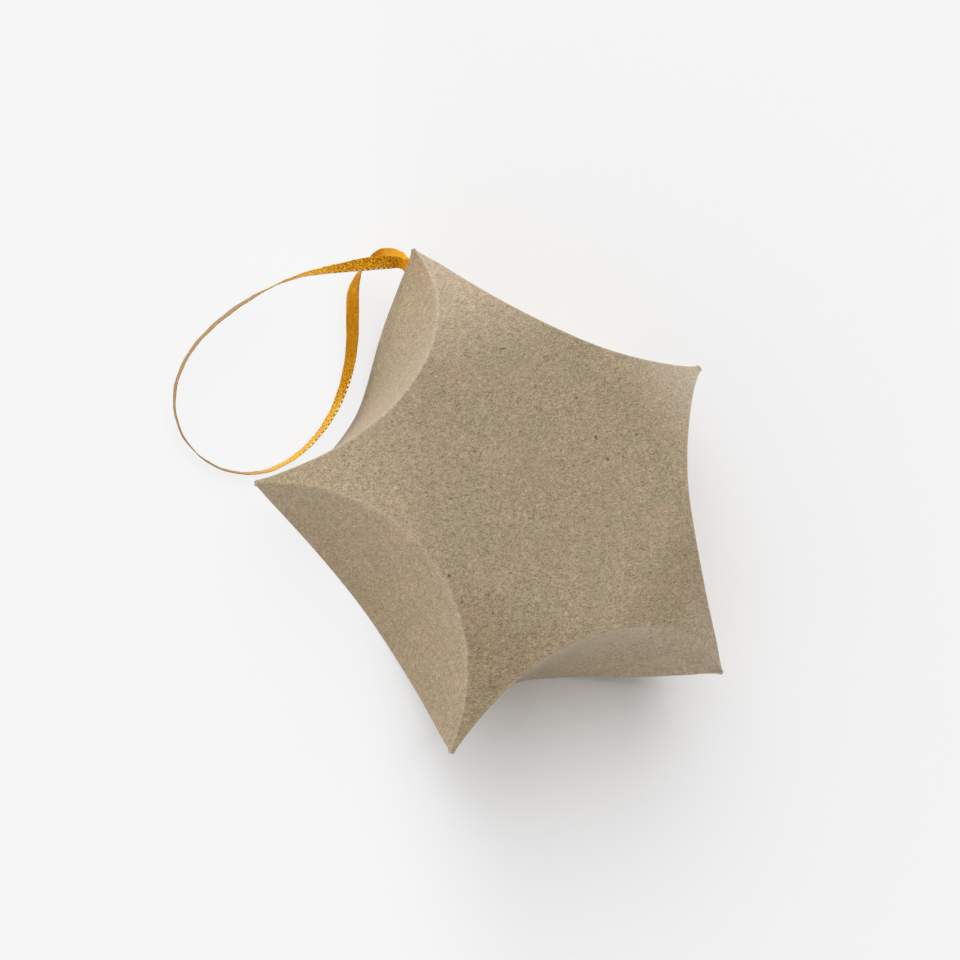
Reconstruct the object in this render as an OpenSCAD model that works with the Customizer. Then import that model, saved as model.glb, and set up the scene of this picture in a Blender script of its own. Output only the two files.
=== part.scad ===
// Star favour box: one sheet of kraft card, folded along curved creases into a hollow
// five-pointed star, with a loop of flat ribbon for hanging it up.
// The box lies on its back face. The middle of that face is the origin, +Z points to
// the front face, and +X to the point that the ribbon comes out of.

/* [Box] */
// Straight distance between neighbouring points, on the flat sheet
side_len = 75; // [60:1:140]
// Angle between that straight line and the curved crease, at a point
crease_angle = 51.3; // [40:0.1:53]
// Distance from the back face to the front face
box_depth = 32; // [26:1:50]
// Thickness of the card
card_t = 0.4; // [0.3:0.05:0.6]
// Width of each blunt point
point_w = 1.4; // [1.2:0.1:3]
// Length of each point where its two panels lie against each other
pressed_len = 2; // [1:0.1:4]

/* [Ribbon] */
// Width of the ribbon
ribbon_w = 3; // [2:0.1:3.5]
// Thickness of the ribbon
ribbon_t = 0.3; // [0.2:0.05:0.4]
// Diameter of the knot that stops the ribbon inside the box
knot_d = 3.8; // [3:0.1:4]
// Distance from the end of the point to the middle of the ribbon's slit
slit_in = 3.2; // [2.8:0.1:4]
// Clear space on each side of a strand in the slit
slit_gap = 0.15; // [0.1:0.05:0.2]

/* [Hidden] */

points = 5;
side_turn = 180 / points;
mid_z = box_depth / 2;
// Stations along half a side, from its middle to the point
stations = 24;

// The flat sheet: half a side, and the radius and depth of its crease arc
half_side = side_len / 2;
crease_r = half_side / sin(crease_angle);
crease_sag = crease_r * (1 - cos(crease_angle));
flat_apothem = half_side / tan(side_turn);
// Height of the folded crease for each millimetre of depth on the flat sheet
rise = mid_z / crease_sag;

// Depth and slope of the flat crease arc, at u from the middle of its side
function crease_depth(u) = sqrt(pow(crease_r, 2) - pow(u, 2)) - crease_r + crease_sag;
function crease_slope(u) = u / sqrt(pow(crease_r, 2) - pow(u, 2));

// Plan direction of the folded crease: along its arm, and inwards across it
function plan_along(u) =
    sqrt(pow(sin(side_turn) + crease_slope(u) * cos(side_turn), 2) - pow(crease_slope(u), 2));
function plan_across(u) = cos(side_turn) - crease_slope(u) * sin(side_turn);

function station_u(i) = half_side * i / stations;
arm_start = (flat_apothem - crease_sag) * cos(side_turn) + point_w / 2 / tan(side_turn);
// Distance of each station from the star's middle, summed along its arm
arm_x = [
    for (i = 0, x = arm_start;
         i <= stations;
         x = x + plan_along(station_u(i + 0.5)) * half_side / stations, i = i + 1) x
];
point_x = arm_x[stations];
function arm_half_w(u) =
    (flat_apothem - crease_depth(u)) * sin(side_turn) - u * cos(side_turn) + point_w / 2;

// One station of an arm's outline and of its profile, moved in along its own normal
function outline_at(i, inset) = [
    arm_x[i] - inset * plan_across(station_u(i)),
    arm_half_w(station_u(i)) - inset * plan_along(station_u(i))
];
function fall(u) = [plan_along(u), rise * crease_slope(u)];
function profile_at(i, inset) = [
    arm_x[i] - inset * fall(station_u(i))[1] / norm(fall(station_u(i))),
    rise * crease_depth(station_u(i)) - inset * fall(station_u(i))[0] / norm(fall(station_u(i)))
];

// The hollow inside a point is never narrower or lower than this on each side
least_air = 0.2;

// Outline of half an arm, out to end_x. It takes the odd stations and the profile the
// even ones, so that no upright edge of the outline meets an edge of the profile.
function half_outline(inset, end_x) = let (
    whole = [for (i = [1 : 2 : stations]) outline_at(i, inset), outline_at(stations, inset)]
) [
    for (p = whole)
        if (p[0] < end_x) [p[0], max(p[1], least_air)],
    [end_x, max(lookup(end_x, whole), least_air)]
];

// Upper edge of an arm's profile, which runs past the point at its least height
function half_profile(inset) = let (low = max(card_t - inset, least_air)) [
    for (i = [0 : 2 : stations])
        if (profile_at(i, inset)[1] > 2 * low) profile_at(i, inset),
    [point_x - inset - low, low],
    [point_x + card_t, low]
];

function reversed(list) = [for (i = [len(list) - 1 : -1 : 0]) list[i]];
function turned(p, a) = [p[0] * cos(a) - p[1] * sin(a), p[0] * sin(a) + p[1] * cos(a)];
function flipped(list) = [for (p = reversed(list)) [p[0], -p[1]]];

// The star between its creases: the outline, cut to the profile of every arm
module star_body(inset, end_x) {
    half = half_outline(inset, end_x);
    edge = half_profile(inset);
    start = [[-point_x, edge[0][1]]];
    intersection() {
        linear_extrude(height = 2 * box_depth, center = true)
            polygon([
                for (k = [0 : points - 1])
                    for (p = concat(reversed(flipped(half)), reversed(half)))
                        turned(p, 2 * side_turn * k)
            ]);
        intersection_for(k = [0 : points - 1])
            rotate([90, 0, 2 * side_turn * k])
                linear_extrude(height = 4 * point_x, center = true)
                    polygon(concat(start, edge, flipped(edge), flipped(start)));
    }
}

// Slit in the back of the ribbon's point, for two strands side by side
slit_w = 2 * (ribbon_t + 2 * slit_gap);
slit_l = ribbon_w + 4 * slit_gap;

module star_box() {
    color("tan")
        difference() {
            translate([0, 0, mid_z]) star_body(0, point_x);
            translate([0, 0, mid_z]) star_body(card_t, point_x - pressed_len);
            translate([point_x - slit_in - slit_l / 2, -slit_w / 2, 0])
                cube([slit_l, slit_w, mid_z]);
        }
}

// Route of the ribbon's middle line, from the knot round the loop and back. Each row is
// x, y, z and the turn of the ribbon's width from upright, in degrees about the route.
route = [
    [51.5, 0.3, 16.4, 0], [54.5, 0.3, 14, 0], [56.5, 0.3, 12.3, 5], [57.5, 1, 11.7, 25],
    [58, 2.6, 11.6, 42], [58.5, 5, 11.6, 52], [59, 8, 11.4, 52], [59.5, 12, 11, 34],
    [60, 16, 10.4, 19], [60.6, 22, 9.4, 7], [60.4, 28, 8.2, -5], [59.4, 34, 7.1, -13],
    [57.6, 40.5, 5.9, -13], [54.9, 47.1, 4.6, -8], [51.3, 52.9, 3.5, 0], [46.1, 57.8, 2.6, 11],
    [40, 60.3, 2, 22], [33.9, 60.1, 1.7, 31], [28.5, 57, 1.6, 33], [25, 52, 1.5, 30],
    [23.4, 45.9, 1.5, 27], [23.8, 40, 1.5, 26], [25.7, 33.7, 1.6, 22], [28.9, 27.7, 1.9, 20],
    [33.2, 22.4, 2.4, 23], [38.3, 18, 2.9, 26], [44, 14.6, 3.6, 28], [49.6, 12.4, 4.4, 30],
    [54.1, 10.8, 5.1, 26], [57.1, 9.2, 5.7, 8], [59.2, 7.2, 6.4, -4], [60.6, 5, 7.5, -18],
    [61, 2.8, 8.7, -30], [60.3, 0.8, 9.8, -24], [58.9, -0.2, 10.9, -10], [57.4, -0.3, 11.9, -3],
    [56, -0.3, 12.8, 0], [54.5, -0.3, 14, 0], [51.5, -0.3, 16.4, 0]
];
last = len(route) - 1;
function place(i) = [route[i][0], route[i][1], route[i][2]];
function unit(v) = v / norm(v);
function heading(i) = unit(place(min(i + 1, last)) - place(max(i - 1, 0)));
function upright(h) = unit([0, 0, 1] - h[2] * h);
// Direction of the ribbon's width, and the direction that its face looks in
function width_way(i) =
    cos(route[i][3]) * upright(heading(i))
    + sin(route[i][3]) * cross(heading(i), upright(heading(i)));
function face_way(i) = cross(heading(i), width_way(i));

// Section of the ribbon: eight corners, with the edges a little rounded off
half_w = ribbon_w / 2;
half_t = ribbon_t / 2;
quarter = [[half_w, half_t / 2], [half_w - half_t, half_t]];
section = concat(quarter, [for (p = reversed(quarter)) [-p[0], p[1]]],
                 [for (p = quarter) [-p[0], -p[1]]],
                 [for (p = reversed(quarter)) [p[0], -p[1]]]);
sides = len(section);

module ribbon_loop() {
    color("goldenrod")
        polyhedron(
            points = [
                for (i = [0 : last])
                    for (p = section) place(i) + p[0] * width_way(i) + p[1] * face_way(i)
            ],
            faces = concat(
                [[for (j = [0 : sides - 1]) j]],
                [reversed([for (j = [0 : sides - 1]) last * sides + j])],
                [
                    for (i = [0 : last - 1])
                        for (j = [0 : sides - 1])
                            let (a = i * sides + j, b = i * sides + (j + 1) % sides)
                                each [[a, a + sides, b], [b, a + sides, b + sides]]
                ]
            )
        );
}

// The knot is cut flat where both strands leave it, so that they meet face to face
knot_flat = 0.9;
knot_face = (place(0) + place(last)) / 2;

module ribbon_knot() {
    color("darkgoldenrod")
        difference() {
            translate(knot_face - (knot_d / 2 - knot_flat) * heading(0))
                sphere(d = knot_d, $fn = 48);
            translate(knot_face)
                rotate([0, atan2(-heading(0)[2], heading(0)[0]), 0])
                    translate([0, -knot_d, -knot_d])
                        cube(2 * knot_d);
        }
}

star_box();
ribbon_loop();
ribbon_knot();
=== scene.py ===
"""Looks of the star favour box: its folded kraft card, the loop of gold satin ribbon
with a stitched edge, the knot that holds it, a pale table and soft light."""

from math import cos, pi, radians, sin, tan

import bmesh
import bpy
import numpy as np
from mathutils import Matrix, Vector


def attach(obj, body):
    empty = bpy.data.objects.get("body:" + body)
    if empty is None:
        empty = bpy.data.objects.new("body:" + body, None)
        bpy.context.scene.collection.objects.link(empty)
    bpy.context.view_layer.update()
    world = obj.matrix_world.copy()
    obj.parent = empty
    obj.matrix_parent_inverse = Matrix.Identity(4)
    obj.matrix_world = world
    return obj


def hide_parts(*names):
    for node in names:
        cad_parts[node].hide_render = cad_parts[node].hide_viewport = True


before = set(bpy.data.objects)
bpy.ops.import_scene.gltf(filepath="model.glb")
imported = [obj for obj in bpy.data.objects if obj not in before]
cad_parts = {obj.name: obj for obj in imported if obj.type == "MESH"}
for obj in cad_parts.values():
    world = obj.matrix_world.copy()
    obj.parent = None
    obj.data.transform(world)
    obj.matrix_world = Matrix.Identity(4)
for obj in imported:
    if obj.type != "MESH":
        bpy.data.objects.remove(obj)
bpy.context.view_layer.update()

MM = 0.001

# Camera
FOCUS = Vector((0, 0, 16))
CAMERA_TURN = radians(108.7381)
CAMERA_HEIGHT = radians(55.885)
CAMERA_ROLL = radians(53.2129)
CAMERA_DISTANCE = 4203.3
CAMERA_ASIDE = -6.089
CAMERA_ABOVE = 5.307
LENS_MM = 750
SENSOR_MM = 36


def make_camera():
    """The photograph's viewing angle, from far away through a long lens."""
    back = Vector((
        cos(CAMERA_TURN) * cos(CAMERA_HEIGHT),
        sin(CAMERA_TURN) * cos(CAMERA_HEIGHT),
        sin(CAMERA_HEIGHT),
    ))
    level = Vector((0, 0, 1)).cross(back).normalized()
    above = back.cross(level)
    right = cos(CAMERA_ROLL) * level + sin(CAMERA_ROLL) * above
    up = cos(CAMERA_ROLL) * above - sin(CAMERA_ROLL) * level
    place = FOCUS + back * CAMERA_DISTANCE + right * CAMERA_ASIDE + up * CAMERA_ABOVE
    data = bpy.data.cameras.new("camera")
    data.lens = LENS_MM
    data.sensor_width = SENSOR_MM
    data.clip_end = 20
    camera = bpy.data.objects.new("camera", data)
    bpy.context.scene.collection.objects.link(camera)
    turn = Matrix((right, up, back)).transposed().to_4x4()
    camera.matrix_world = Matrix.Translation(place * MM) @ turn
    bpy.context.scene.camera = camera


make_camera()


# Node trees
class Tree:
    """A node tree, and the one method that puts a node in it."""

    def __init__(self, nodes):
        self.nodes = nodes
        self.nodes.nodes.clear()

    def node(self, kind, settings=None, sockets=None, out=0):
        """Sets the node's settings first, then the values or wires of its sockets."""
        made = self.nodes.nodes.new(kind)
        for name, value in (settings or {}).items():
            setattr(made, name, value)
        for name, value in (sockets or {}).items():
            if isinstance(value, Wire):
                self.nodes.links.new(value.socket, made.inputs[name])
            else:
                made.inputs[name].default_value = value
        return Wire(self, made.outputs[out]) if made.outputs else made


class Wire:
    """A node's output, on which plain arithmetic works."""

    def __init__(self, tree, socket):
        self.tree = tree
        self.socket = socket

    def sum(self, operation, *values):
        return self.tree.node("ShaderNodeMath", {"operation": operation}, dict(enumerate(values)))

    def __add__(self, other):
        return self.sum("ADD", self, other)

    def __radd__(self, other):
        return self.sum("ADD", other, self)

    def __sub__(self, other):
        return self.sum("SUBTRACT", self, other)

    def __rsub__(self, other):
        return self.sum("SUBTRACT", other, self)

    def __mul__(self, other):
        return self.sum("MULTIPLY", self, other)

    def __rmul__(self, other):
        return self.sum("MULTIPLY", other, self)

    def __truediv__(self, other):
        return self.sum("DIVIDE", self, other)

    def other(self, name):
        """Another output of the same node."""
        return Wire(self.tree, self.socket.node.outputs[name])

    def size(self):
        return self.sum("ABSOLUTE", self)

    def wave(self):
        return self.sum("SINE", self)

    def step(self, low, high):
        """0 below low and 1 above high, smoothly between them; low may be the larger."""
        flip = low > high
        ends = {"Value": self, "From Min": min(low, high), "From Max": max(low, high)}
        ends |= {"To Min": float(flip), "To Max": float(not flip)}
        return self.tree.node("ShaderNodeMapRange", {"interpolation_type": "SMOOTHSTEP"}, ends)

    def scaled(self, amount):
        """A colour or vector, times a number."""
        return self.tree.node("ShaderNodeVectorMath", {"operation": "SCALE"}, {0: self, 3: amount})


def blend(tree, share, first, second):
    """Colour first, with that share of second mixed in."""
    first, second = (v if isinstance(v, Wire) else (*v, 1) for v in (first, second))
    sockets = {0: share, 6: first, 7: second}
    return tree.node("ShaderNodeMix", {"data_type": "RGBA"}, sockets, out=2)


def new_finish(name):
    material = bpy.data.materials.new(name)
    material.use_nodes = True
    return material, Tree(material.node_tree)


def finish_with(tree, **sockets):
    """The last two nodes of a finish: its plain shader and the output."""
    names = {name.replace("_", " "): value for name, value in sockets.items()}
    shader = tree.node("ShaderNodeBsdfPrincipled", None, names)
    tree.node("ShaderNodeOutputMaterial", None, {"Surface": shader})


def cloud(tree, place, scale, detail=2.0, twist=0.0):
    sockets = {"Vector": place, "Scale": scale, "Detail": detail, "Distortion": twist}
    return tree.node("ShaderNodeTexNoise", None, sockets)


def turned(tree, place, degrees, stretch):
    """The coordinates, turned and then scaled on each axis."""
    turn = tuple(radians(a) for a in degrees)
    sockets = {"Vector": place, "Rotation": turn, "Scale": stretch}
    return tree.node("ShaderNodeMapping", {"vector_type": "POINT"}, sockets)


# Kraft card's finish
OLIVE = (0.312, 0.246, 0.142)
ROSY = (0.343, 0.251, 0.153)
CREASED = (0.50, 0.42, 0.32)
FLECK = (0.075, 0.055, 0.035)
RUST = (0.20, 0.10, 0.055)
PALE_FIBRE = (0.58, 0.50, 0.38)
# How far the fibres curl, in metres, and the direction and scale of each layer of them
CURL = 0.0022
FIBRE_LAYERS = ((15, 2250), (75, 2550), (135, 2400))


def kraft_finish():
    """Recycled kraft: curled fibres, soft blotches, dark flecks and pale hairs."""
    material, tree = new_finish("kraft_card")
    place = tree.node("ShaderNodeTexCoord", out="Object")
    drift = cloud(tree, place, 420, 2).other("Color")
    bend = {"operation": "MULTIPLY_ADD"}
    curled = tree.node("ShaderNodeVectorMath", bend, {0: drift, 1: (CURL,) * 3, 2: place})

    blotch = cloud(tree, place, 130, 3, 0.6)
    shade = cloud(tree, place, 190, 3, 0.4)
    patch = cloud(tree, place, 560, 2, 0.8)
    grain = cloud(tree, place, 3600, 1, 0.5)
    strands = [
        cloud(tree, turned(tree, curled, (0, 0, turn), (1, 0.38, 0.7)), scale, 2, 0.3)
        for turn, scale in FIBRE_LAYERS
    ]
    fibre = (strands[0] + strands[1] + strands[2]) / 3

    hue = (blotch * 0.7 + patch * 0.3).step(0.38, 0.62)
    colour = blend(tree, hue, OLIVE, ROSY)
    tone = 1 + (grain - 0.5) * 1.8 + (fibre - 0.5) * 2.1 + (shade - 0.5) * 0.18
    tone = tone + (patch - 0.5) * 0.22
    colour = colour.scaled(tone)

    crease = tree.node("ShaderNodeAttribute", {"attribute_name": "crease"}, None, "Fac")
    worn = crease * (grain * 0.3 + 0.05)
    colour = blend(tree, worn, colour, CREASED)

    def spots(turn, stretch, scale, least, radius):
        """Flecks of about radius, in some of the cells."""
        where = turned(tree, curled, turn, stretch)
        cell = tree.node(
            "ShaderNodeTexVoronoi", {"feature": "F1"}, {"Vector": where, "Scale": scale}
        )
        kind = tree.node("ShaderNodeSeparateColor", None, {0: cell.other("Color")})
        return cell.step(radius * 1.25, radius * 0.7) * kind.step(least, least + 0.1)

    dark = spots((0, 0, 20), (1, 0.5, 1), 190, 0.3, 0.055)
    dots = spots((0, 0, 100), (1, 0.5, 1), 400, 0.4, 0.07)
    rust = spots((0, 0, 60), (0.6, 1, 1), 210, 0.5, 0.07)
    hairs = spots((0, 0, 140), (1, 0.22, 1), 300, 0.35, 0.055)
    colour = blend(tree, hairs * 0.4, colour, PALE_FIBRE)
    colour = blend(tree, rust * 0.4, colour, RUST)
    colour = blend(tree, dots * 0.6, colour, FLECK)
    colour = blend(tree, dark * 0.85, colour, FLECK)

    relief = fibre * 0.6 + grain * 0.4
    bump = tree.node(
        "ShaderNodeBump", None, {"Strength": 0.5, "Distance": 0.00012, "Height": relief}
    )
    finish_with(
        tree,
        Base_Color=colour,
        Roughness=0.56 - fibre * 0.2,
        Normal=bump,
        Specular_IOR_Level=0.5,
        Sheen_Weight=0.11,
        Sheen_Roughness=0.45,
    )
    return material


# Ribbon's finishes
SATIN = (0.64, 0.26, 0.004)
SATIN_DEEP = (0.46, 0.16, 0.002)
# the colour of the painted highlights on the satin
SATIN_PAINTED_HIGHLIGHT = (0.95, 0.60, 0.07)
SATIN_DARK = (0.24, 0.085, 0.003)
# the colour of the painted shade on the ribbon
SATIN_PAINTED_SHADE = (0.36, 0.23, 0.11)
SELVEDGE = (0.22, 0.10, 0.010)
STITCH = (0.95, 0.78, 0.42)
GOLDEN = (1.0, 0.62, 0.08, 1)


def satin_finish(name, on_ribbon):
    """Satin: long warp threads that catch the light along the ribbon. Their lighter streaks are
    painted highlights, and on the ribbon so are its glints and pale stretches; its lighter and
    darker stretches are painted light and shade.
    """
    material, tree = new_finish(name)
    if on_ribbon:
        weave = tree.node("ShaderNodeUVMap", {"uv_map": "weave"})
    else:
        weave = tree.node("ShaderNodeTexCoord", out="Object").scaled(1000.0)
    parts = tree.node("ShaderNodeSeparateXYZ", None, {0: weave})
    across = parts.other("Y")

    threads = cloud(tree, turned(tree, weave, (0, 0, 0), (0.35, 9, 1)), 1.0, 3, 0.2)
    floats = cloud(tree, turned(tree, weave, (0, 0, 0), (1.6, 5, 1)), 1.0, 2, 0.3)
    glints = cloud(tree, turned(tree, weave, (0, 0, 0), (2.1, 2.9, 1)), 1.0, 1, 0.4)
    slow = cloud(tree, turned(tree, weave, (0, 0, 0), (0.12, 0.5, 1)), 1.0, 2)
    picks = (parts * 9).wave() * 0.5 + 0.5
    colour = blend(tree, threads.step(0.3, 0.7), SATIN_DEEP, SATIN)
    # painted highlight: lighter streaks along the floats and in slow patches
    painted_streaks = (floats.step(0.5, 0.8) + slow.step(0.5, 0.8)) * 0.25
    colour = blend(tree, painted_streaks, colour, SATIN_PAINTED_HIGHLIGHT)
    relief = threads * 0.7 + picks * 0.08 + floats * 0.3
    if on_ribbon:
        def stretch(name):
            return tree.node("ShaderNodeAttribute", {"attribute_name": name}, None, "Fac")

        speckled = stretch("speckled")
        # painted highlight on the stretches marked pale, where the ribbon bends toward the light
        colour = blend(tree, stretch("pale") * 0.6, colour, SATIN_PAINTED_HIGHLIGHT)
        # painted glints as light specks, with darker specks beside them, where the stretch is
        # speckled
        colour = blend(tree, glints.step(0.52, 0.66) * speckled * 0.8, colour, SATIN_PAINTED_HIGHLIGHT)
        colour = blend(tree, glints.step(0.47, 0.36) * speckled * 0.85, colour, SATIN_DARK)
        # painted light and shade: the colour is made lighter or darker along the run, where the
        # strands are lit or shaded
        colour = colour.scaled(stretch("painted_light_level"))
        # painted shade: the far stretch of the loop, seen edge-on in shade, turns browner and
        # duller
        colour = blend(tree, stretch("painted_shade"), colour, SATIN_PAINTED_SHADE)
        stitched_edge = stretch("stitched").step(0.3, 0.8)
        plain_edge = across.size().step(1.3, 1.46)
        edging = stitched_edge * 0.9 + plain_edge * (1 - stitched_edge) * 0.3
        colour = blend(tree, edging, colour, SELVEDGE)
        sheen_share = 1 - stitched_edge
    else:
        sheen_share = 1 - picks * 0.1
    bump = tree.node(
        "ShaderNodeBump", None, {"Strength": 0.45, "Distance": 0.00006, "Height": relief}
    )
    finish_with(
        tree,
        Base_Color=colour,
        Metallic=0.35,
        Roughness=0.64 - sheen_share * 0.24 + threads * 0.08,
        Normal=bump,
        Specular_IOR_Level=0.12,
        Specular_Tint=GOLDEN,
        Anisotropic=0.5,
    )
    return material


def stitch_finish():
    """The pale thread that is whipped over the ribbon's edges."""
    material, tree = new_finish("edge_thread")
    place = tree.node("ShaderNodeTexCoord", out="Object")
    ply = cloud(tree, place, 5200, 2)
    run = cloud(tree, place, 260, 1)
    colour = blend(tree, ply.step(0.35, 0.7), (0.85, 0.60, 0.20), STITCH)
    colour = colour.scaled(0.8 + run * 0.4)
    clear = tree.node("ShaderNodeAttribute", {"attribute_name": "clear"}, None, "Fac")
    colour = blend(tree, clear.step(0.2, 0.8), SATIN, colour)
    bump = tree.node(
        "ShaderNodeBump", None, {"Strength": 0.4, "Distance": 0.00003, "Height": ply}
    )
    finish_with(
        tree,
        Base_Color=colour,
        Roughness=0.5 + ply * 0.2,
        Normal=bump,
        Specular_IOR_Level=0.2,
        Specular_Tint=GOLDEN,
    )
    return material


kraft = kraft_finish()
satin = satin_finish("gold_satin", True)
knot_satin = satin_finish("gold_satin_knot", False)
thread = stitch_finish()


def new_piece(name, mesh, material):
    piece = bpy.data.objects.new(name, mesh)
    bpy.context.scene.collection.objects.link(piece)
    mesh.materials.clear()
    mesh.materials.append(material)
    for face in mesh.polygons:
        face.use_smooth = True
    return piece


def made_plain(piece, material):
    """A new piece with the first one's modifiers applied; the first one is removed."""
    found = bpy.context.evaluated_depsgraph_get()
    mesh = bpy.data.meshes.new_from_object(piece.evaluated_get(found), depsgraph=found)
    name = piece.name
    bpy.data.objects.remove(piece)
    mesh.name = name
    return new_piece(name, mesh, material)


# Ribbon
# Its middle line, as in the CAD source: x, y, z and the turn of its width from upright,
# which follows the real ribbon a little closer here, by up to 9 degrees
ROUTE = [
    (51.5, 0.3, 16.4, 0), (54.5, 0.3, 14, 0), (56.5, 0.3, 12.3, 5), (57.5, 1, 11.7, 25),
    (58, 2.6, 11.6, 42), (58.5, 5, 11.6, 52), (59, 8, 11.4, 52), (59.5, 12, 11, 34),
    (60, 16, 10.4, 19), (60.6, 22, 9.4, 3), (60.4, 28, 8.2, -5), (59.4, 34, 7.1, -13),
    (57.6, 40.5, 5.9, -14), (54.9, 47.1, 4.6, -8), (51.3, 52.9, 3.5, 0), (46.1, 57.8, 2.6, 10),
    (40, 60.3, 2, 23), (33.9, 60.1, 1.7, 29), (28.5, 57, 1.6, 36), (25, 52, 1.5, 31),
    (23.4, 45.9, 1.5, 26), (23.8, 40, 1.5, 20), (25.7, 33.7, 1.6, 16), (28.9, 27.7, 1.9, 14),
    (33.2, 22.4, 2.4, 18), (38.3, 18, 2.9, 24), (44, 14.6, 3.6, 30), (49.6, 12.4, 4.4, 37),
    (54.1, 10.8, 5.1, 35), (57.1, 9.2, 5.7, 15), (59.2, 7.2, 6.4, -4), (60.6, 5, 7.5, -18),
    (61, 2.8, 8.7, -30), (60.3, 0.8, 9.8, -24), (58.9, -0.2, 10.9, -10), (57.4, -0.3, 11.9, -3),
    (56, -0.3, 12.8, 0), (54.5, -0.3, 14, 0), (51.5, -0.3, 16.4, 0),
]
ROUTE_STEPS = 8
RIBBON_W = 3.0
# How each stretch of the ribbon looks, mostly painted light and shade: rows of its route, and how
# much of it there
STRETCHES = {
    # dull: painted shade
    "painted_shade": ([9, 11, 18.5, 21], [0, 1, 1, 0]),
    # pale: painted highlight
    "pale": (
        [6, 8, 10, 11, 19.3, 20.5, 23.8, 24.6, 29.5, 30.5, 31.5, 32.5, 35, 36],
        [0, 0.5, 0.6, 0, 0, 1, 1, 0, 0, 0.6, 0.6, 1, 1, 0],
    ),
    # speckled: where the painted glints and darker specks show
    "speckled": ([4, 6, 19.5, 20.5, 22, 22.8, 24.4, 26], [0.7, 1, 1, 0.35, 0.35, 1, 1, 0.25]),
    # painted light and shade: how much lighter or darker each stretch is
    "painted_light_level": (
        [3, 4.5, 6, 9, 11, 20, 24, 26, 29, 31.5, 32.5],
        [1.3, 1.2, 1.55, 1.7, 1.4, 1.1, 0.95, 0.72, 0.78, 0.9, 1.5],
    ),
}
# Where the stitches show clearly, on the first edge and on the other
STITCHED = {
    1: ([21.4, 22.4, 24.6, 25.8], [0, 1, 1, 0]),
    -1: ([3.2, 4, 10.5, 12], [0, 1, 1, 0]),
}
# Half the section of the ribbon: distance from its middle, and half its thickness there
SECTION = [
    (0, 0.07), (0.4, 0.07), (0.8, 0.07), (1.1, 0.075), (1.25, 0.09), (1.38, 0.1), (1.46, 0.07)
]
# The soft ripple of its edges: how high, how many radians a millimetre, and from where
RIPPLES = [(0.05, 1.1, 0), (0.03, 2.7, 1)]


def smooth_line(rows, steps):
    """A smooth line through the rows."""
    rows = np.array(rows, float)
    padded = np.vstack([2 * rows[0] - rows[1], rows, 2 * rows[-1] - rows[-2]])
    found = []
    for a, b, c, d in zip(padded, padded[1:], padded[2:], padded[3:]):
        for t in np.arange(steps) / steps:
            found.append(
                0.5 * (2 * b + (c - a) * t + (2 * a - 5 * b + 4 * c - d) * t**2
                       + (3 * b - a - 3 * c + d) * t**3)
            )
    return np.array(found + [rows[-1]])


def unit(vectors):
    return vectors / np.linalg.norm(vectors, axis=-1, keepdims=True)


fine_route = smooth_line(ROUTE, ROUTE_STEPS)
ribbon_line = fine_route[:, :3]
ribbon_turn = np.radians(fine_route[:, 3:])
ribbon_heading = unit(np.gradient(ribbon_line, axis=0))
upright = unit(np.array([0, 0, 1.0]) - ribbon_heading * ribbon_heading[:, 2:])
sideways = np.cross(ribbon_heading, upright)
ribbon_width = np.cos(ribbon_turn) * upright + np.sin(ribbon_turn) * sideways
ribbon_face = np.cross(ribbon_heading, ribbon_width)
ribbon_steps = np.linalg.norm(np.diff(ribbon_line, axis=0), axis=1)
ribbon_run = np.concatenate([[0], np.cumsum(ribbon_steps)])


def tube(name, rings, values, material, joined_ends=False):
    """A closed tube through rings of points in millimetres, with a value for each point."""
    count, sides = len(rings), len(rings[0])
    points = [tuple(p * MM) for ring in rings for p in ring]
    faces = [
        (a * sides + b, a * sides + (b + 1) % sides,
         (a + 1) % count * sides + (b + 1) % sides, (a + 1) % count * sides + b)
        for a in range(count if joined_ends else count - 1)
        for b in range(sides)
    ]
    if not joined_ends:
        faces += [tuple(reversed(range(sides))), tuple(range((count - 1) * sides, count * sides))]
    mesh = bpy.data.meshes.new(name)
    mesh.from_pydata(points, [], faces)
    for attribute, numbers in values.items():
        layer = mesh.attributes.new(attribute, "FLOAT", "POINT")
        layer.data.foreach_set("value", np.array(numbers, np.float32).ravel())
    piece = new_piece(name, mesh, material)
    build = bmesh.new()
    build.from_mesh(mesh)
    bmesh.ops.recalc_face_normals(build, faces=build.faces)
    build.to_mesh(mesh)
    build.free()
    return piece


def make_ribbon():
    """The flat ribbon, a little thicker along its stitched edges, with a soft ripple."""
    ring = [(RIBBON_W / 2, 0)] + SECTION[::-1] + [(-w, t) for w, t in SECTION[1:]]
    ring += [(-w, -t) for w, t in ring]
    rings = []
    for k, middle in enumerate(ribbon_line):
        ripple = sum(high * sin(ribbon_run[k] * rate + start) for high, rate, start in RIPPLES)
        rings.append([
            middle + w * ribbon_width[k] + (t + ripple * (w / RIBBON_W * 2) ** 2) * ribbon_face[k]
            for w, t in ring
        ])
    row = np.arange(len(ribbon_line)) / ROUTE_STEPS
    looks = {
        name: np.repeat(np.interp(row, *stretch), len(ring))
        for name, stretch in STRETCHES.items()
    }
    edge_share = {
        side: np.outer(np.interp(row, *rows), [side * w > 1.2 for w, _ in ring])
        for side, rows in STITCHED.items()
    }
    looks["stitched"] = edge_share[1] + edge_share[-1]
    piece = tube("ribbon", rings, looks, satin)
    mesh = piece.data
    layer = mesh.uv_layers.new(name="weave")
    for face in mesh.polygons:
        for loop, point in zip(face.loop_indices, face.vertices):
            station, corner = divmod(point, len(ring))
            layer.data[loop].uv = (ribbon_run[station], ring[corner][0])
    return piece


ribbon = make_ribbon()

# Distance between stitches, their distance from the ribbon's middle, and their size
STITCH_PITCH = 1.22
STITCH_IN = 1.34
STITCH_SIZE = (0.40, 0.27, 0.19)


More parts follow.
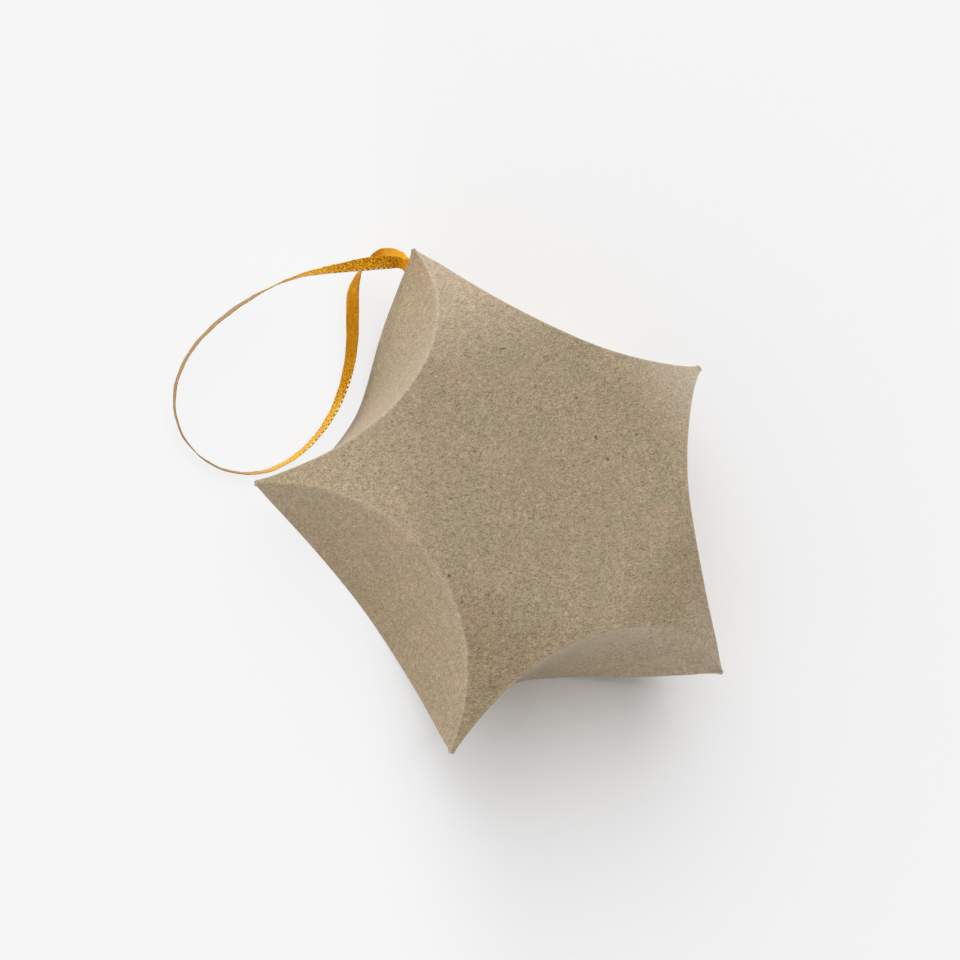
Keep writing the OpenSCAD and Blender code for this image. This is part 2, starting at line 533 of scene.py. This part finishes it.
def make_stitches():
    """Beads of thread along both edges of the ribbon, set by a small node tree."""
    points, edges, clear = [], [], []
    row = np.arange(len(ribbon_line)) / ROUTE_STEPS
    for side, rows in STITCHED.items():
        first = len(points)
        places = ribbon_line + side * STITCH_IN * ribbon_width
        points += [tuple(p * MM) for p in places[ROUTE_STEPS:-ROUTE_STEPS]]
        edges += [(k, k + 1) for k in range(first, len(points) - 1)]
        clear += list(np.interp(row, *rows)[ROUTE_STEPS:-ROUTE_STEPS])
    mesh = bpy.data.meshes.new("stitches")
    mesh.from_pydata(points, edges, [])
    faces = np.array(ribbon_face[ROUTE_STEPS:-ROUTE_STEPS], np.float32)
    layer = mesh.attributes.new("out", "FLOAT_VECTOR", "POINT")
    layer.data.foreach_set("vector", np.concatenate([faces, faces]).ravel())
    layer = mesh.attributes.new("clear", "FLOAT", "POINT")
    layer.data.foreach_set("value", np.array(clear, np.float32))
    piece = bpy.data.objects.new("stitches", mesh)
    bpy.context.scene.collection.objects.link(piece)

    group = bpy.data.node_groups.new("whipped_edge", "GeometryNodeTree")
    face = group.interface
    face.new_socket("Edge", in_out="INPUT", socket_type="NodeSocketGeometry")
    pitch = face.new_socket("Pitch", in_out="INPUT", socket_type="NodeSocketFloat")
    width = face.new_socket("Bead width", in_out="INPUT", socket_type="NodeSocketFloat")
    face.new_socket("Stitches", in_out="OUTPUT", socket_type="NodeSocketGeometry")
    tree = Tree(group)
    given = tree.node("NodeGroupInput")
    line = tree.node("GeometryNodeMeshToCurve", None, {0: given})
    spaced = tree.node(
        "GeometryNodeResampleCurve", {"mode": "LENGTH"}, {0: line, "Length": given.other("Pitch")}
    )
    ball = tree.node("GeometryNodeMeshUVSphere", None, {0: 8, 1: 6, 2: given.other("Bead width")})
    soft = tree.node("GeometryNodeSetShadeSmooth", None, {0: ball})
    along = tree.node("GeometryNodeInputTangent")
    out = tree.node(
        "GeometryNodeInputNamedAttribute", {"data_type": "FLOAT_VECTOR"}, {"Name": "out"}
    )
    aim = tree.node("FunctionNodeAlignEulerToVector", {"axis": "X"}, {"Vector": along})
    settle = tree.node(
        "FunctionNodeAlignEulerToVector", {"axis": "Z", "pivot_axis": "X"},
        {"Rotation": aim, "Vector": out},
    )
    spread = tree.node(
        "FunctionNodeRandomValue", {"data_type": "FLOAT_VECTOR"},
        {0: (0.85, 0.85, 0.9), 1: (1.15, 1.15, 1.1), "Seed": 7},
    )
    shape = tuple(size / STITCH_SIZE[0] for size in STITCH_SIZE)
    clear = tree.node(
        "GeometryNodeInputNamedAttribute", {"data_type": "FLOAT"}, {"Name": "clear"}
    )
    size = tree.node("ShaderNodeVectorMath", {"operation": "MULTIPLY"}, {0: spread, 1: shape})
    size = size.scaled(clear * 0.45 + 0.55)
    placed = tree.node(
        "GeometryNodeInstanceOnPoints", None,
        {"Points": spaced, "Instance": soft, "Rotation": settle, "Scale": size},
    )
    real = tree.node("GeometryNodeRealizeInstances", None, {0: placed})
    dressed = tree.node("GeometryNodeSetMaterial", None, {0: real, "Material": thread})
    tree.node("NodeGroupOutput", None, {0: dressed})

    stitched = piece.modifiers.new("stitches", "NODES")
    stitched.node_group = group
    stitched[pitch.identifier] = STITCH_PITCH * MM
    stitched[width.identifier] = STITCH_SIZE[0] * MM
    return made_plain(piece, thread)


stitches = make_stitches()

KNOT_MIDDLE = np.array([50.72, 0, 17.02])
KNOT_REACH = 0.44
KNOT_WIDE, KNOT_THICK = 0.52, 0.34
KNOT_STEPS, KNOT_SIDES = 96, 14


def make_knot():
    """The overhand knot inside the point, pulled tight."""
    t = np.linspace(0, 2 * pi, KNOT_STEPS, endpoint=False)
    line = np.column_stack([
        np.sin(t) + 2 * np.sin(2 * t), np.cos(t) - 2 * np.cos(2 * t), -1.3 * np.sin(3 * t)
    ]) * KNOT_REACH
    heading = unit(np.roll(line, -1, axis=0) - np.roll(line, 1, axis=0))
    wide = unit(np.cross(heading, unit(line)))
    thick = np.cross(heading, wide)
    rings = [
        [
            KNOT_MIDDLE + line[k] + KNOT_WIDE * cos(a) * wide[k] + KNOT_THICK * sin(a) * thick[k]
            for a in np.linspace(0, 2 * pi, KNOT_SIDES, endpoint=False)
        ]
        for k in range(KNOT_STEPS)
    ]
    return tube("ribbon_knot_tied", rings, {}, knot_satin, joined_ends=True)


knot = make_knot()

# Card
HALF_SIDE = 37.5
CREASE_ANGLE = radians(51.3)
MID_Z = 16.0
CARD_T = 0.4
POINT_W = 1.4
SIDE_TURN = pi / 5
crease_r = HALF_SIDE / sin(CREASE_ANGLE)
crease_sag = crease_r * (1 - cos(CREASE_ANGLE))
apothem = HALF_SIDE / tan(SIDE_TURN)
fine_u = np.linspace(0, HALF_SIDE, 601)
fine_slope = fine_u / np.sqrt(crease_r**2 - fine_u**2)
fine_depth = np.sqrt(crease_r**2 - fine_u**2) - crease_r + crease_sag
fine_along = np.sqrt((sin(SIDE_TURN) + fine_slope * cos(SIDE_TURN)) ** 2 - fine_slope**2)
fine_across = cos(SIDE_TURN) - fine_slope * sin(SIDE_TURN)
arm_start = (apothem - crease_sag) * cos(SIDE_TURN) + POINT_W / 2 / tan(SIDE_TURN)
fine_x = arm_start + np.concatenate([
    [0], np.cumsum((fine_along[1:] + fine_along[:-1]) / 2 * np.diff(fine_u))
])
fine_half = (apothem - fine_depth) * sin(SIDE_TURN) - fine_u * cos(SIDE_TURN) + POINT_W / 2
fine_fall = fine_slope * MID_Z / crease_sag
fine_z = fine_depth * MID_Z / crease_sag
POINT_X = float(fine_x[-1])

# How each point of this box stands off the even star, in millimetres; the first is the
# ribbon's point and the rest follow it round
POINT_SHIFT = np.array([
    (-0.85, 0, 1.4), (0.31, 0.34, -1.0), (-0.2, 0.18, -1.0), (0.94, 0.48, 1.0), (-0.09, -0.3, 1.5)
])
# How much narrower each point's end is than the even star's
PINCH = [0.6, 0.2, 0.2, 0.6, 0]
# The back edge stands out on two sides: which side, where along it, how wide, how far
BACK_BULGE = [(0, -22, 20, 2.1), (2, 22, 18, 1.6), (2, -5, 11, -1.0)]
# The two panels part a little at the very end of each point
NOTCH, NOTCH_HALF, NOTCH_LONG = 0.03, 0.22, 1.1
# How far down the arms the points' shifts begin, as a share of their length
SHIFT_FROM = 0.45


def smooth_step(value, low, high):
    t = np.clip((value - low) / (high - low), 0, 1)
    return t * t * (3 - 2 * t)


def hand_folded(points):
    """The even star's points, moved a little, as on a box that was folded by hand."""
    moved = points.copy()
    x, y, z = points.T
    above = z / MID_Z / 2
    radial = unit(points[:, :2] + 1e-9)
    wave = 0.12 * np.sin(x / 9 + y / 14 + 0.7) + 0.10 * np.cos(y / 8 - x / 17)
    moved[:, 2] += wave * smooth_step(above, 0.1, 0.9)
    puff = 0.10 * np.sin(np.arctan2(y, x) * 7 + z / 7) * smooth_step(above, 0, 0.3)
    moved[:, :2] += radial * puff[:, None]
    for k, shift in enumerate(POINT_SHIFT):
        way = np.array([cos(2 * SIDE_TURN * k), sin(2 * SIDE_TURN * k)])
        reach = points[:, :2] @ way
        aside = points[:, :2] @ np.array([-way[1], way[0]])
        share = np.clip((reach / POINT_X - SHIFT_FROM) / (1 - SHIFT_FROM), 0, 1.05) ** 2
        moved += share[:, None] * shift
        squeeze = aside * PINCH[k] * smooth_step(reach, POINT_X - 6, POINT_X)
        moved[:, 0] += squeeze * way[1]
        moved[:, 1] -= squeeze * way[0]
        dent = NOTCH * np.exp(-(aside / NOTCH_HALF) ** 2)
        dent = dent * smooth_step(reach, POINT_X - NOTCH_LONG, POINT_X - 0.1)
        moved[:, :2] -= dent[:, None] * way
    for side, middle, wide, far in BACK_BULGE:
        turn = SIDE_TURN * (2 * side + 1)
        out = np.array([cos(turn), sin(turn)])
        distance = points[:, :2] @ out
        along = points[:, :2] @ np.array([-out[1], out[0]])
        edge = np.interp(
            abs(along), fine_x * sin(SIDE_TURN) - fine_half * cos(SIDE_TURN),
            fine_x * cos(SIDE_TURN) + fine_half * sin(SIDE_TURN)
        )
        share = smooth_step(distance - edge, -14, 0) * (1 - smooth_step(z, 0, MID_Z * 2))
        share = share * (1 - smooth_step(abs(along - middle), 0, wide))
        moved[:, :2] += far * share[:, None] * out
    moved[:, 2] = np.maximum(moved[:, 2], 0)
    return moved


CROSS_STEPS = [0, 0.09, 0.18, 0.27, 0.36, 0.45, 0.54, 0.63, 0.72, 0.8, 0.87, 0.93, 0.97, 1]
ARC_STEPS = 5
PANEL_STEPS = [0, 0.06, 0.2, 0.36, 0.52, 0.68, 0.84, 1]
STATIONS = 48
CREASE_ROUND = 0.34


def quarter(inset, roundness, end_x, least, cap):
    """Half the width and the front half of one arm, as a grid of points from its middle
    line, over the crease, and down to the middle of the side panel. Each point has its
    share of the crease's paler wear."""
    lean = np.hypot(fine_fall, fine_along)
    roof_x = fine_x - inset * fine_fall / lean
    roof_z = fine_z - inset * fine_along / lean

    def roof(x):
        return np.maximum(np.interp(x, roof_x, roof_z), least)

    crease_x = fine_x - inset * fine_across
    crease_y = np.maximum(fine_half - inset * fine_along, least)
    rows, wear = [], []
    last_u = np.interp(end_x, crease_x, fine_u)
    first_x, last_x = crease_x[0], np.interp(last_u, fine_u, crease_x)
    for k in range(STATIONS + 1):
        u = np.interp(first_x + (last_x - first_x) * k / STATIONS, crease_x, fine_u)
        x, y = np.interp(u, fine_u, crease_x), np.interp(u, fine_u, crease_y)
        along, across = np.interp(u, fine_u, fine_along), np.interp(u, fine_u, fine_across)
        bend = min(roundness, 0.6 * y, 0.6 * roof(x))
        fade = 0.3 + 0.7 * (1 - smooth_step(x, 42, 56))
        row, worn = [], []
        inner_x, inner_y = x - bend * across, y - bend * along
        for t in CROSS_STEPS:
            row.append((inner_x, inner_y * t, roof(inner_x)))
            worn.append(fade * smooth_step(inner_y * t, inner_y - 0.5, inner_y))
        for step in range(1, ARC_STEPS + 1):
            a = pi / 2 * step / ARC_STEPS
            at_x = inner_x + bend * across * sin(a)
            at_y = inner_y + bend * along * sin(a)
            row.append((at_x, at_y, roof(at_x) - bend * (1 - cos(a))))
            worn.append(fade)
        top = row[-1][2]
        for t in PANEL_STEPS[1:]:
            row.append((x, y, top * (1 - t)))
            worn.append(fade * 0.25 * (t < 0.1))
        rows.append(row)
        wear.append(worn)
    ending = rows[-1]
    tip_x = ending[-1][0]
    for push, share in cap:
        rows.append([
            ((x if share else tip_x) + push, y * share, z * share) for x, y, z in ending
        ])
        wear.append([0.2] * len(ending))
    return np.array(rows, float), np.array(wear, float)


def add_grid(build, layer, points, wear):
    """Adds a grid of quads; points is rows by columns by 3, in millimetres."""
    shape = points.shape[:2]
    moved = hand_folded(points.reshape(-1, 3) + (0, 0, MID_Z)) * MM
    made = []
    for place, value in zip(moved, wear.ravel()):
        vertex = build.verts.new(place)
        vertex[layer] = value
        made.append(vertex)
    for a in range(shape[0] - 1):
        for b in range(shape[1] - 1):
            k = a * shape[1] + b
            build.faces.new((made[k], made[k + 1], made[k + shape[1] + 1], made[k + shape[1]]))


def star_shell(name, inset, roundness, end_x, least, cap, inside_out):
    """One closed skin of the star: five arms on a five-sided middle, front and back."""
    build = bmesh.new()
    layer = build.verts.layers.float.new("crease")
    arm, wear = quarter(inset, roundness, end_x, least, cap)
    steps = np.array(CROSS_STEPS)
    middle = arm[0][0]
    corner = arm[0][len(steps) - 1]
    for k in range(5):
        a, b = 2 * SIDE_TURN * k, 2 * SIDE_TURN * (k + 1)
        turn = np.array([[cos(a), sin(a), 0], [-sin(a), cos(a), 0], [0, 0, 1]])
        next_turn = np.array([[cos(b), sin(b), 0], [-sin(b), cos(b), 0], [0, 0, 1]])
        here, there, peak = middle @ turn, middle @ next_turn, corner @ turn
        centre = np.array([0, 0, middle[2]])
        p, q = steps[:, None, None], steps[None, :, None]
        kite = (1 - p) * (1 - q) * centre + p * (1 - q) * here
        kite = kite + (1 - p) * q * there + p * q * peak
        for face in (1, -1):
            add_grid(build, layer, kite * (1, 1, face), np.zeros(kite.shape[:2]))
            for side in (1, -1):
                add_grid(build, layer, (arm * (1, side, face)) @ turn, wear)
    bmesh.ops.remove_doubles(build, verts=build.verts, dist=1e-6)
    bmesh.ops.dissolve_degenerate(build, edges=build.edges, dist=1e-7)
    bmesh.ops.recalc_face_normals(build, faces=build.faces)
    if build.calc_volume(signed=True) < 0:
        bmesh.ops.reverse_faces(build, faces=build.faces)
    if inside_out:
        bmesh.ops.reverse_faces(build, faces=build.faces)
    mesh = bpy.data.meshes.new(name)
    build.to_mesh(mesh)
    build.free()
    return mesh


SLIT_FROM, SLIT_TO, SLIT_HALF = 53.2, 56.7, 0.66
SLIT_HIGH, SLIT_MIDDLE_Z = 12, 10.0
# How each skin closes at a point: how far out, and how much of the section is left there
OUTER_CAP = [(0.07, 0.95), (0.12, 0.84), (0.13, 0.62), (0.13, 0.34), (0.13, 0)]
INNER_CAP = [(0, 0.66), (0, 0.33), (0, 0)]
OUTER_SHORT, INNER_SHORT = 0.13, 2.4
OUTER_LEAST, INNER_LEAST = 0.55, 0.22
INNER_ROUND = 0.12


def make_card():
    """The card between its outer and inner skins, with the slit cut in the back of the
    ribbon's point."""
    outer = star_shell(
        "card_outside", 0, CREASE_ROUND, POINT_X - OUTER_SHORT, OUTER_LEAST, OUTER_CAP, False
    )
    inner = star_shell(
        "card_inside", CARD_T, INNER_ROUND, POINT_X - INNER_SHORT, INNER_LEAST, INNER_CAP, True
    )
    build = bmesh.new()
    build.from_mesh(outer)
    build.from_mesh(inner)
    both = bpy.data.meshes.new("card_body")
    build.to_mesh(both)
    build.free()
    card = new_piece("card", both, kraft)

    build = bmesh.new()
    bmesh.ops.create_cube(build, size=1)
    size = Vector((SLIT_TO - SLIT_FROM, 2 * SLIT_HALF, SLIT_HIGH)) * MM
    middle = Vector(((SLIT_TO + SLIT_FROM) / 2, 0, SLIT_MIDDLE_Z)) * MM
    for vertex in build.verts:
        vertex.co = Vector(a * b for a, b in zip(vertex.co, size)) + middle
    knife_mesh = bpy.data.meshes.new("slit_knife")
    build.to_mesh(knife_mesh)
    build.free()
    knife = new_piece("slit_knife", knife_mesh, kraft)
    cut = card.modifiers.new("slit", "BOOLEAN")
    cut.operation = "DIFFERENCE"
    cut.solver = "EXACT"
    cut.object = knife
    done = made_plain(card, kraft)
    bpy.data.objects.remove(knife)
    return done


card = make_card()

for piece, node, slot in (
    (card, "star_box", "kraft_card"),
    (ribbon, "ribbon_loop", "gold_ribbon"),
    (knot, "ribbon_knot", "gold_ribbon"),
):
    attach(piece, "root")
    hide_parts(node)
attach(stitches, "root")

# Table and light
TABLE_TONE = (0.93, 0.93, 0.935)
TABLE_HALF = 2.5
TABLE_DROP = 0.00002
# The table glows to the camera on the ribbon's side, painted light that washes out the shadows
# there: which way that is, where it starts and is full, and how much paler it looks
PAINTED_LIGHT_WAY = (0.31, 0.95, 0)
PAINTED_LIGHT_FROM, PAINTED_LIGHT_TO = -0.008, 0.034
GLOW = 0.9


def make_table():
    build = bmesh.new()
    bmesh.ops.create_grid(build, x_segments=1, y_segments=1, size=TABLE_HALF)
    for vertex in build.verts:
        vertex.co.z = -TABLE_DROP
    mesh = bpy.data.meshes.new("table")
    build.to_mesh(mesh)
    build.free()
    material, tree = new_finish("table")
    place = tree.node("ShaderNodeTexCoord", out="Object")
    painted_light_side = {0: place, 1: PAINTED_LIGHT_WAY}
    reach = tree.node("ShaderNodeVectorMath", {"operation": "DOT_PRODUCT"}, painted_light_side, "Value")
    seen = tree.node("ShaderNodeLightPath", out="Is Camera Ray")
    # painted light: the glow to the camera hides the shadows on the ribbon's side
    glow = reach.step(PAINTED_LIGHT_FROM, PAINTED_LIGHT_TO) * seen * GLOW
    cloth = {"Base Color": (*TABLE_TONE, 1), "Roughness": 0.9, "Specular IOR Level": 0.0}
    shader = tree.node("ShaderNodeBsdfPrincipled", None, cloth)
    white = tree.node("ShaderNodeEmission", None, {"Color": (*TABLE_TONE, 1), "Strength": 1})
    mixed = tree.node("ShaderNodeMixShader", None, {0: glow, 1: shader, 2: white})
    tree.node("ShaderNodeOutputMaterial", None, {"Surface": mixed})
    new_piece("table", mesh, material)


# Each lamp: the way it comes from, its height, how far it spreads, and its strength
LAMPS = [("softbox", -12, 58, 84, 0.69), ("window", 116, 31, 70, 0.11)]
# The room's light overhead, what it gains low down, and the way it leans there
ROOM_LIGHT = 0.13
ROOM_SIDES = 4.6
ROOM_LEAN = (0.42, 0.08, 0)


def make_light():
    """A large soft lamp to one side, a weak one from the camera's side, and a pale room,
    which is brighter low down."""
    for name, side, height, spread, strength in LAMPS:
        data = bpy.data.lights.new(name, "SUN")
        data.angle = radians(spread)
        data.energy = strength * pi
        lamp = bpy.data.objects.new(name, data)
        turn, tilt = radians(side), radians(height)
        way = Vector((cos(turn) * cos(tilt), sin(turn) * cos(tilt), sin(tilt)))
        lamp.location = way
        lamp.rotation_euler = way.to_track_quat("Z", "Y").to_euler()
        bpy.context.scene.collection.objects.link(lamp)

    world = bpy.data.worlds.new("room")
    bpy.context.scene.world = world
    world.use_nodes = True
    tree = Tree(world.node_tree)
    seen = tree.node("ShaderNodeLightPath", out="Is Camera Ray")
    way = tree.node("ShaderNodeTexCoord", out="Generated")
    height = tree.node("ShaderNodeSeparateXYZ", None, {0: way}, "Z")
    leaning = {0: way, 1: ROOM_LEAN}
    lean = tree.node("ShaderNodeVectorMath", {"operation": "DOT_PRODUCT"}, leaning, "Value")
    low = 1 - height.size()
    strength = low * low * low * low * low * (1 + lean) * ROOM_SIDES + ROOM_LIGHT
    room = tree.node("ShaderNodeBackground", None, {"Color": (1, 1, 1, 1), "Strength": strength})
    backdrop = tree.node("ShaderNodeBackground", None, {"Color": (*TABLE_TONE, 1), "Strength": 1})
    mixed = tree.node("ShaderNodeMixShader", None, {0: seen, 1: room, 2: backdrop})
    tree.node("ShaderNodeOutputWorld", None, {"Surface": mixed})


make_table()
make_light()
bpy.context.scene.view_settings.view_transform = "Standard"
